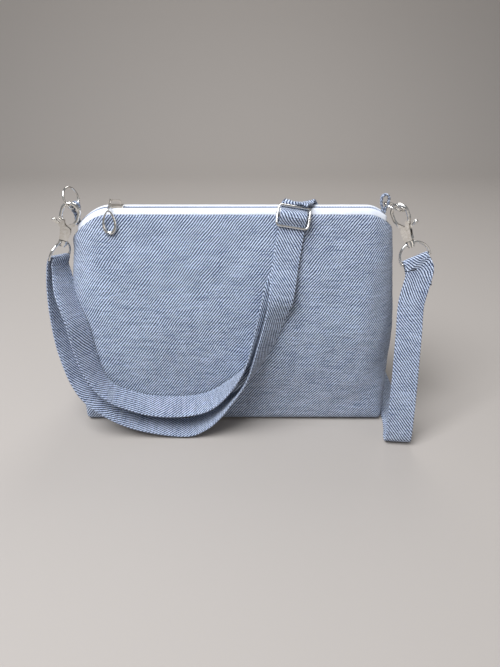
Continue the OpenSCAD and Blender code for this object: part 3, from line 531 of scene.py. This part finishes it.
def columnPlaces():
    places, start = [], 0
    for end, count in ((sideEnd, fineness["side"]), (cornerEnd, fineness["corner"]),
                       (sectionMiddle, fineness["front"])):
        places += [start + (end - start) * k / count for k in range(count)]
        start = end
    return places + [sectionMiddle] + [sectionEnd - j for j in reversed(places)]


def wayOut(line, c, j):  # level and square to the cloth at column c
    along = line[min(len(line) - 1, c + 1)] - line[max(0, c - 1)]
    flat = Vector((along.y, -along.x, 0))
    out = flat.normalized() if flat.length > 1e-6 else Vector((0, -1, 0))
    if out.y > 0 and abs(out.x) < 0.999:
        out = -out
    if j in (0, sectionEnd) or abs(out.y) < 1e-3:
        out = Vector((-1 if j < sectionMiddle else 1, 0, 0))
    return out


def weaveOf(grid, side):  # across by the length round the wall, up by its middle column's length
    centre = len(grid[0]) // 2
    heights, lengths = [grid[0][centre].z], [0.0]
    for below, line in zip(grid, grid[1:]):
        heights.append(line[centre].z)
        lengths.append(lengths[-1] + (line[centre] - below[centre]).length)
    weave = []
    for line in grid:
        spans = [0.0]
        for a, b in zip(line, line[1:]):
            spans.append(spans[-1] + (b - a).length)
        weave += [((spans[centre] - s) * side, np.interp(p.z, heights, lengths), 0)
                  for s, p in zip(spans, line)]
    return weave


def shellFaces(wide, last):  # outer and inner skin, joined at the sides, the mouth and the base
    half = wide * (last + 1)
    under = 2 * half
    faces = []
    for i in range(last):
        for c in range(wide - 1):
            a = i * wide + c
            b = half + a
            faces.append((a, a + 1, a + 1 + wide, a + wide))
            faces.append((b, b + wide, b + wide + 1, b + 1))
        for c in (0, wide - 1):
            a = i * wide + c
            faces.append((a, a + wide, half + a + wide, half + a))
    for c in range(wide - 1):
        a = last * wide + c
        faces.append((a, a + 1, half + a + 1, half + a))
    for c in range(wide - 1):
        inner = under + wide + c
        faces.append((c, under + c, under + c + 1, c + 1))
        faces.append((half + c, half + c + 1, inner + 1, inner))
        faces.append((under + c, inner, inner + 1, under + c + 1))
    for c in (0, wide - 1):
        faces.append((c, half + c, under + wide + c, under + c))
    return faces


def makeHalf(name, side, outerDepth, innerDepth, drop, material, rollEdge):
    columns = columnPlaces()
    rows = [(0, math.pi / 2 * k / fineness["baseEdge"]) for k in range(fineness["baseEdge"])]
    rows += [(k / fineness["rows"], math.pi / 2) for k in range(fineness["rows"] + 1)]
    grids = [[[skinPoint(t, turn, j, depth, drop) for j in columns] for t, turn in rows]
             for depth in (outerDepth, innerDepth)]
    points, weave = [], []
    for grid in grids:
        weave += weaveOf(grid, side)
        for i, line in enumerate(grid):
            t, plain = rows[i][0], grids[0][i]  # both layers follow the outer skin's folds
            for c, p in enumerate(line):
                off = foldAt(plain[c], t, columns[c], side)
                if rollEdge and grid is grids[0]:  # the folded edge is round, not square
                    off -= bag["edgeRoll"] * eased(0.992, 1.0, t)
                q = p + off * wayOut(plain, c, columns[c])
                points.append(Vector((q.x, -side * q.y, q.z)) * mm)
    # the underside: the two layers meet along the middle of the base
    wide, half = len(columns), len(columns) * len(rows)
    for first in (0, half):
        for k in range(first, first + wide):
            points.append(Vector((points[k].x, side * bag["seamGap"] / 2 * mm, points[k].z)))
            weave.append((weave[k][0], -abs(points[k].y) / mm, 0))
    piece = outward(makeObject(name, points, shellFaces(wide, len(rows) - 1), [material], weave))
    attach(piece, "bag")
    return piece


lap = bag["twillThick"] + bag["layerGap"]
frontPanel = makeHalf("frontPanel", -1, 0, bag["twillThick"], 0, bagTwill, True)
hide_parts("front_panel")
backPanel = makeHalf("backPanel", 1, 0, bag["twillThick"], 0, bagTwill, True)
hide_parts("back_panel")
for side, name, node in ((-1, "frontLining", "front_lining"), (1, "backLining", "back_lining")):
    lining = makeHalf(name, side, lap, lap + bag["liningThick"], bag["liningDrop"], slateLining,
                      False)
    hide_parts(node)
print("bag body made")


zipper = {"flat": 4.8, "hem": 5.0, "hemLean": 0.34, "thick": 0.6, "short": 7.5, "steps": 150,
          "wave": 0.12, "waveLong": 14.0, "backArch": 1.5, "coilIn": 0.6, "coilOut": 2.1,
          "coilHigh": 1.8, "coilShort": 0.3, "pitch": 1.5, "perTurn": 10, "wire": 0.56,
          "wireSides": 6}
tapeHalf = halfWide(1) - zipper["short"]


def mouthY(x):  # where the tape meets the wall
    w, d = halfWide(1) - lap, halfDeep(1) - lap
    cornerWide, cornerShare = bag["mouthCorner"]
    cw, cd = cornerWide - lap, cornerShare * halfDeep(1) - lap
    q = max(0, abs(x) - w + cw) / cw
    return d - cd + cd * math.sqrt(max(0, 1 - q * q))


def tapeSection(x, side):  # from the coil out, over the fold and down the hem, and back under
    h, fall, out = zipper["thick"] / 2, bag["tapeFall"], zipper["coilOut"]
    edge = mouthY(x)
    flat = min(zipper["flat"], edge - zipper["thick"])
    low, lean = -fall - zipper["hem"], zipper["hem"] * zipper["hemLean"]
    wave = zipper["wave"] * noise.noise(Vector((x / zipper["waveLong"], 0, side)))
    arch = zipper["backArch"] if side > 0 else 0.0  # the back tape rises a little behind the coil
    shoulder = mixed(flat, edge, 0.45), wave + 1.6 * arch - 0.3 * fall
    return [
        (out + 0.1, h), (mixed(out, flat, 0.6), h + 0.05 + wave), (flat, h + wave + 0.5 * arch),
        shoulder, (edge - 0.05, -fall), (edge + lean - 0.05, low),
        (edge + lean - 0.5, low), (edge - 0.5, -fall - h), (shoulder[0] - 0.35, shoulder[1] - 0.45),
        (flat - h, -h + wave + 0.4 * arch), (out + 0.1, -h),
    ]


def makeTape(name, side, node):
    points, weave = [], []
    for i in range(zipper["steps"] + 1):
        x = mixed(-tapeHalf, tapeHalf, i / zipper["steps"])
        section = tapeSection(x, side)
        run = 0
        for k, (y, z) in enumerate(section):
            points.append(Vector((x, side * y, zipZ(x) + z)) * mm)
            run += math.dist(section[k], section[k - 1]) if k else 0
            weave.append((x, run, 0))
    faces = sweptFaces(zipper["steps"] + 1, len(section))
    tape = outward(makeObject(name, points, faces, [whiteTape], weave))
    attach(tape, "bag")
    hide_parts(node)


def makeCoil(name, side, node):  # the filament turns once per tooth, flattened on the tape's edge
    half = tapeHalf - zipper["coilShort"]
    steps = int(2 * half / zipper["pitch"]) * zipper["perTurn"]
    centreY = (zipper["coilIn"] + zipper["coilOut"]) / 2
    reachY = (zipper["coilOut"] - zipper["coilIn"] - zipper["wire"]) / 2
    reachZ = (zipper["coilHigh"] - zipper["wire"]) / 2
    centres = []
    for k in range(steps + 1):
        a = 2 * math.pi * k / zipper["perTurn"]
        x = mixed(-half, half, k / steps)
        bite = math.copysign(abs(math.cos(a)) ** 0.7, math.cos(a))
        rise = math.copysign(abs(math.sin(a)) ** 0.8, math.sin(a))
        centres.append(Vector((x, side * (centreY - reachY * bite), zipZ(x) + reachZ * rise)))
    points = []
    for k, centre in enumerate(centres):
        along = (centres[min(k + 1, steps)] - centres[max(0, k - 1)]).normalized()
        normal = (Vector((1, 0, 0)) - along.x * along).normalized()
        binormal = along.cross(normal)
        for c in range(zipper["wireSides"]):
            a = 2 * math.pi * c / zipper["wireSides"]
            ray = math.cos(a) * normal + math.sin(a) * binormal
            points.append((centre + zipper["wire"] / 2 * ray) * mm)
    faces = sweptFaces(steps + 1, zipper["wireSides"])
    coil = outward(makeObject(name, points, faces, [nylonCoil]))
    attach(coil, "bag")
    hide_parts(node)


makeTape("frontTape", -1, "zip_tape_front")
makeTape("backTape", 1, "zip_tape_back")
makeCoil("frontCoil", -1, "zip_coil_front")
makeCoil("backCoil", 1, "zip_coil_back")
print("zip made")


webbing = {"wide": 25.0, "thick": 2.0, "step": 2.6, "limp": 0.10, "limpLong": 18.0,
           "stitchIn": 2.3, "stitchPitch": 3.4, "stitchLong": 2.5, "stitchClear": 1.3,
           "stitchThick": 0.476, "stitchSides": 5, "crossPitch": 3.1, "crossLong": 2.3,
           "foldSewnAt": 3.0, "dropSewnAt": 18.0}
strapNodes = ["strap_right_fold", "strap_right_drop", "strap_behind", "strap_over_top",
              "strap_slider_run", "strap_outer_loop", "strap_left_fold", "strap_inner_loop",
              "strap_return"]
# One stitch: a thread that rises out of the cloth, lies flat and dives again
stitchLine = [(-0.5, -0.5, 0.6), (-0.3, 0.35, 1), (0.3, 0.35, 1), (0.5, -0.5, 0.6)]


def strapRings(node):  # the flat sections of a CAD strap piece: middle and way across
    mesh = frame["nodes"][node].data
    spots = np.unique(np.round(np.array([v.co for v in mesh.vertices]) / mm, 3), axis=0)
    kept = []
    for p in spots:
        if not any(np.linalg.norm(p - q) < 0.01 for q in kept):
            kept.append(p)
    spots = np.array(kept)
    apart = np.linalg.norm(spots[:, None] - spots[None], axis=2)
    slack = 0.006
    isWide = abs(apart - webbing["wide"]) < slack
    isThick = abs(apart - webbing["thick"]) < slack
    isDiagonal = abs(apart - math.hypot(webbing["wide"], webbing["thick"])) < slack
    rings = {}
    for a in range(len(spots)):
        for b in np.nonzero(isThick[a])[0]:
            for c in np.nonzero(isWide[a])[0]:
                for d in np.nonzero(isThick[c] & isWide[b])[0]:
                    if isDiagonal[a][d] and isDiagonal[b][c]:
                        middle = (spots[a] + spots[b] + spots[c] + spots[d]) / 4
                        across = (spots[c] - spots[a]) / webbing["wide"]
                        rings[tuple(sorted((a, b, c, d)))] = (middle, across)
    return [(Vector(middle), Vector(across)) for middle, across in rings.values()]


def walkCost(ring, here, heading):  # low where a ring is near, straight on and lies the same way
    gap = ring[0] - here[0]
    turn = 0 if heading is None else 1 - heading.dot(gap.normalized())
    return gap.length * (1 + turn + 5 * (1 - abs(ring[1].dot(here[1]))))


def inOrder(rings, start):  # walks from the ring nearest to start
    left = list(rings)
    here = min(left, key=lambda r: (r[0] - start).length)
    left.remove(here)
    line, heading = [here], None
    while left:
        following = min(left, key=lambda r: walkCost(r, here, heading))
        left.remove(following)
        if abs(following[1].dot(here[1])) < 0.6:  # four corners that only look like a section
            break
        heading = (following[0] - here[0]).normalized()
        here = following
        line.append(here)
    return line


def wholeStrap():  # all rings from the right clasp to the adjuster, and where each node starts
    line, starts = [], {}
    tail = min(strapRings(strapNodes[0]), key=lambda r: r[0].z)[0]
    for node in strapNodes:
        part = inOrder(strapRings(node), tail)
        starts[node] = max(0, len(line) - 1)
        for middle, across in part[1:] if line else part:
            if line and across.dot(line[-1][1]) < 0:
                across = -across
            line.append((middle, across))
        tail = line[-1][0]
    starts["end"] = len(line) - 1
    return line, starts


def strapFrames(line):  # finer stations: middle, across, along, through, length so far, number
    frames = []
    for i in range(len(line) - 1):
        a, b, c, d = around(line, i)
        count = max(1, round((c[0] - b[0]).length / webbing["step"]))
        for k in range(count):
            t = k / count
            frames.append((bend(a[0], b[0], c[0], d[0], t), bend(a[1], b[1], c[1], d[1], t), i + t))
    frames.append((*line[-1], len(line) - 1))
    done, run = [], 0
    for k, (middle, across, number) in enumerate(frames):
        before, after = frames[max(0, k - 1)][0], frames[min(len(frames) - 1, k + 1)][0]
        along = (after - before).normalized()
        across = (across - across.dot(along) * along).normalized()
        run += (middle - before).length
        done.append((middle, across, along, along.cross(across), run, number))
    return done


def halfSection():  # place across and half thickness, thinner at the stitching
    w, h = webbing["wide"] / 2, webbing["thick"] / 2
    line = w - webbing["stitchIn"]
    keys = [(0, 0.97), (0.35 * line, 1.0), (0.7 * line, 0.99), (line - 1.5, 0.94),
            (line - 0.5, 0.80), (line, 0.74), (line + 0.5, 0.80), (w - 1.0, 0.90),
            (w - 0.35, 0.72), (w - 0.05, 0.34)]
    right = [(u, h * s) for u, s in keys]
    return [(-u, s) for u, s in reversed(right[1:])] + right


webbingTop = halfSection()


def heightAt(u):  # half thickness of the webbing at u across
    for (a, ha), (b, hb) in zip(webbingTop, webbingTop[1:]):
        if a <= u <= b:
            return mixed(ha, hb, (u - a) / (b - a))
    return 0


def makeStitch(shape, middle, along, out, long, run):
    points, faces, slots, weave = shape
    sides, thick = webbing["stitchSides"], webbing["stitchThick"]
    across = along.cross(out)
    start = len(points)
    for s, lift, fat in stitchLine:
        for c in range(sides):
            a = 2 * math.pi * c / sides
            ray = math.cos(a) * across + math.sin(a) * out
            points.append(middle + s * long * along + thick * (lift * out + 0.5 * fat * ray))
            weave.append((s * long, run, 0))
    stitchFaces = sweptFaces(len(stitchLine), sides)
    faces += [tuple(start + k for k in face) for face in stitchFaces]
    slots += [1] * len(stitchFaces)


def edgeStitches(shape, frames):  # a row along both edges, on both faces
    line = webbing["wide"] / 2 - webbing["stitchIn"]
    first, last = frames[0][4], frames[-1][4]
    number = math.ceil((first + webbing["stitchClear"]) / webbing["stitchPitch"])
    k = 0
    while number * webbing["stitchPitch"] < last - webbing["stitchClear"]:
        run = number * webbing["stitchPitch"]
        while k < len(frames) - 2 and frames[k + 1][4] < run:
            k += 1
        t = (run - frames[k][4]) / max(1e-6, frames[k + 1][4] - frames[k][4])
        middle, across, along, through = (mixed(a, b, t)
                                          for a, b in zip(frames[k][:4], frames[k + 1][:4]))
        for u in (-line, line):
            for face in (1, -1):
                spot = middle + u * across + face * heightAt(u) * through
                makeStitch(shape, spot, along, face * through, webbing["stitchLong"], run)
        number += 1


def crossStitches(shape, frames, run, face):  # one row across the webbing
    middle, across, along, through = min(frames, key=lambda s: abs(s[4] - run))[:4]
    for n in range(-3, 4):
        u = n * webbing["crossPitch"]
        spot = middle + u * across + face * heightAt(u) * through
        makeStitch(shape, spot, across, face * through, webbing["crossLong"], run)


def makeWebbing(name, frames, crossRows=()):
    section = webbingTop + [(u, -h) for u, h in reversed(webbingTop)]
    count = len(section)
    points, weave = [], []
    for middle, across, along, through, run, number in frames:
        limp = webbing["limp"] * noise.noise(Vector((run / webbing["limpLong"], 0, 0)))
        for u, h in section:
            sag = limp * (1 - (u / (webbing["wide"] / 2)) ** 2)
            points.append(middle + u * across + (h + sag) * through)
            weave.append((u if h >= 0 else -u + 3.0, run, 0))
    faces = sweptFaces(len(frames), count)
    shape = points, faces, [0] * len(faces), weave
    edgeStitches(shape, frames)
    for run, face in crossRows:
        crossStitches(shape, frames, run, face)
    piece = outward(makeObject(name, [p * mm for p in points], faces, [strapTwill, sewingThread],
                               weave, shape[2]))
    for edge in piece.data.edges:  # a cut is sharp, so that no shading line shows where two meet
        a, b = (v // count for v in edge.vertices)
        edge.use_edge_sharp = a == b and a in (0, len(frames) - 1)
    return piece


strapLine, strapStarts = wholeStrap()
strapStations = strapFrames(strapLine)
print("strap stations:", len(strapStations), "length", round(strapStations[-1][4]), "mm")


def between(a, b):  # stations from ring a to ring b
    return [s for s in strapStations if a - 1e-6 <= s[5] <= b + 1e-6]


slide = next(j for j in frame["joints"] if j["child"] == "adjuster")
barLow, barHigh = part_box("adjuster_bar")
glideAt = (barLow + barHigh) / 2 / mm
runDown = Vector(slide["axis"]).normalized()
if runDown.z > 0:
    runDown = -runDown


def downRun(station):  # how far down the run from the adjuster's middle a station is
    return (station[0] - glideAt).dot(runDown)


# The webbing round the adjuster is cut at the adjuster and well below it
crestDown, farDown = 0.6, 82.0
sliderFirst, sliderLast = strapStarts["strap_slider_run"], strapStarts["strap_outer_loop"]
crest = min(between(sliderFirst, sliderLast), key=lambda s: abs(downRun(s) - crestDown))[5]
outerCut = next(s[5] for s in strapStations if s[5] > sliderLast and downRun(s) > farDown)
innerCut = [s[5] for s in strapStations
            if strapStarts["strap_inner_loop"] < s[5] < strapStarts["strap_return"]
            and downRun(s) > farDown and s[0].x > 0][-1]

dropStart = between(strapStarts["strap_right_drop"], strapStarts["strap_behind"])[0][4]
plainPieces = [  # name, first and last ring, CAD node, rows of stitches across
    ("strapRightFold", strapStarts["strap_right_fold"], strapStarts["strap_right_drop"],
     "strap_right_fold", [(webbing["foldSewnAt"], -1), (webbing["foldSewnAt"], 1)]),
    ("strapRightDrop", strapStarts["strap_right_drop"], strapStarts["strap_behind"],
     "strap_right_drop", [(dropStart + webbing["dropSewnAt"], 1)]),
    ("strapBehind", strapStarts["strap_behind"], strapStarts["strap_over_top"],
     "strap_behind", []),
    ("strapOverTop", strapStarts["strap_over_top"], sliderFirst, "strap_over_top", []),
    ("strapOuterLoop", outerCut, strapStarts["strap_left_fold"], "strap_outer_loop", []),
    ("strapLeftFold", strapStarts["strap_left_fold"], strapStarts["strap_inner_loop"],
     "strap_left_fold", []),
    ("strapInnerLoop", strapStarts["strap_inner_loop"], innerCut, "strap_inner_loop", []),
]
for name, first, last, node, crossRows in plainPieces:
    piece = makeWebbing(name, between(first, last), crossRows)
    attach(piece, "bag")
    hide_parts(node)

overBar = makeWebbing("strapOverBar", between(sliderFirst, crest))
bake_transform(overBar)
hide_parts("strap_slider_run")
underBar = makeWebbing("strapUnderBar", between(crest, outerCut))
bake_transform(underBar)
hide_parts("strap_slider_run")
returnRun = makeWebbing("strapReturn", between(innerCut, strapStarts["end"]))
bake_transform(returnRun)
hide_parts("strap_return")
print("strap made")


tabs = {  # place along the mouth, height of the hole above the zip, extra height
    "tabLeft": {"node": "tab_left", "x": -147.0, "hole": 15.8, "more": 2.5},
    "tabRight": {"node": "tab_right", "x": 144.0, "hole": 9.4, "more": 5.0},
}
tabCloth = {"wide": 4.5, "thick": 2.0, "holeR": 2.4, "legGap": 0.1, "lift": 1.7, "step": 0.8}


def tabPath(look):  # up one leg, round the ring's wire and down the other leg
    low = zipZ(look["x"]) + look["hole"]
    r = tabCloth["holeR"] + tabCloth["thick"] / 2
    legX = tabCloth["thick"] / 2 + tabCloth["legGap"]
    lift = tabCloth["lift"]
    legs = []
    for s in (-1, 1):
        leg = [(s * legX, zipZ(look["x"] + s * legX) + lift), (s * legX, low - 6.0),
               (s * (legX + 0.5), low - 3.6), (s * (r - 0.6), low - 1.6)]
        leg = [p for p in leg if p[1] >= zipZ(look["x"]) + lift - 2]
        legs.append(leg + [(s * r, low + look["more"] * 0.5)])
    arc = [(r * math.cos(math.radians(a)), low + look["more"] + r * math.sin(math.radians(a)))
           for a in range(170, 9, -20)]
    path = [Vector((look["x"] + x, 0, z)) for x, z in legs[0] + arc + legs[1][::-1]]
    fine = []
    for i in range(len(path) - 1):
        a, b, c, d = around(path, i)
        count = max(1, round((c - b).length / tabCloth["step"]))
        fine += [bend(a, b, c, d, k / count) for k in range(count)]
    return fine + [path[-1]]


def makeTab(name, look):
    w, h = tabCloth["wide"] / 2, tabCloth["thick"] / 2
    edge = [(w, 0.5 * h), (w - 0.3, 0.85 * h), (0.5 * w, h)]
    top = edge + [(-u, v) for u, v in reversed(edge)]
    section = [(u, -v) for u, v in reversed(top)] + top
    fine = tabPath(look)
    points, weave, run = [], [], 0
    for k, p in enumerate(fine):
        before = fine[max(0, k - 1)]
        along = (fine[min(len(fine) - 1, k + 1)] - before).normalized()
        out = Vector((0, 1, 0)).cross(along)
        run += (p - before).length
        for u, v in section:
            points.append((p + Vector((0, u, 0)) + v * out) * mm)
            weave.append((u if v > 0 else -u + 2, run, 0))
    faces = sweptFaces(len(fine), len(section))
    tab = outward(makeObject(name, points, faces, [bagTwill], weave))
    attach(tab, "bag")
    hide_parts(look["node"])


for name, look in tabs.items():
    makeTab(name, look)
print("tabs made")


metalNodes = {
    brightNickel: ["zip_slider", "pull_link", "teardrop_pull", "ring_left", "ring_right",
                   "adjuster_frame", "adjuster_bar", "dee_left", "dee_right", "hook_left",
                   "hook_right", "gate_left", "gate_right"],
    springSteel: ["gate_pin_left", "gate_pin_right", "gate_spring_left", "gate_spring_right"],
}
for material, names in metalNodes.items():
    for name in names:
        thing = frame["nodes"][name]
        if not thing.material_slots:
            thing.data.materials.append(material)
        for place in thing.material_slots:
            place.material = material
print("hardware dressed")
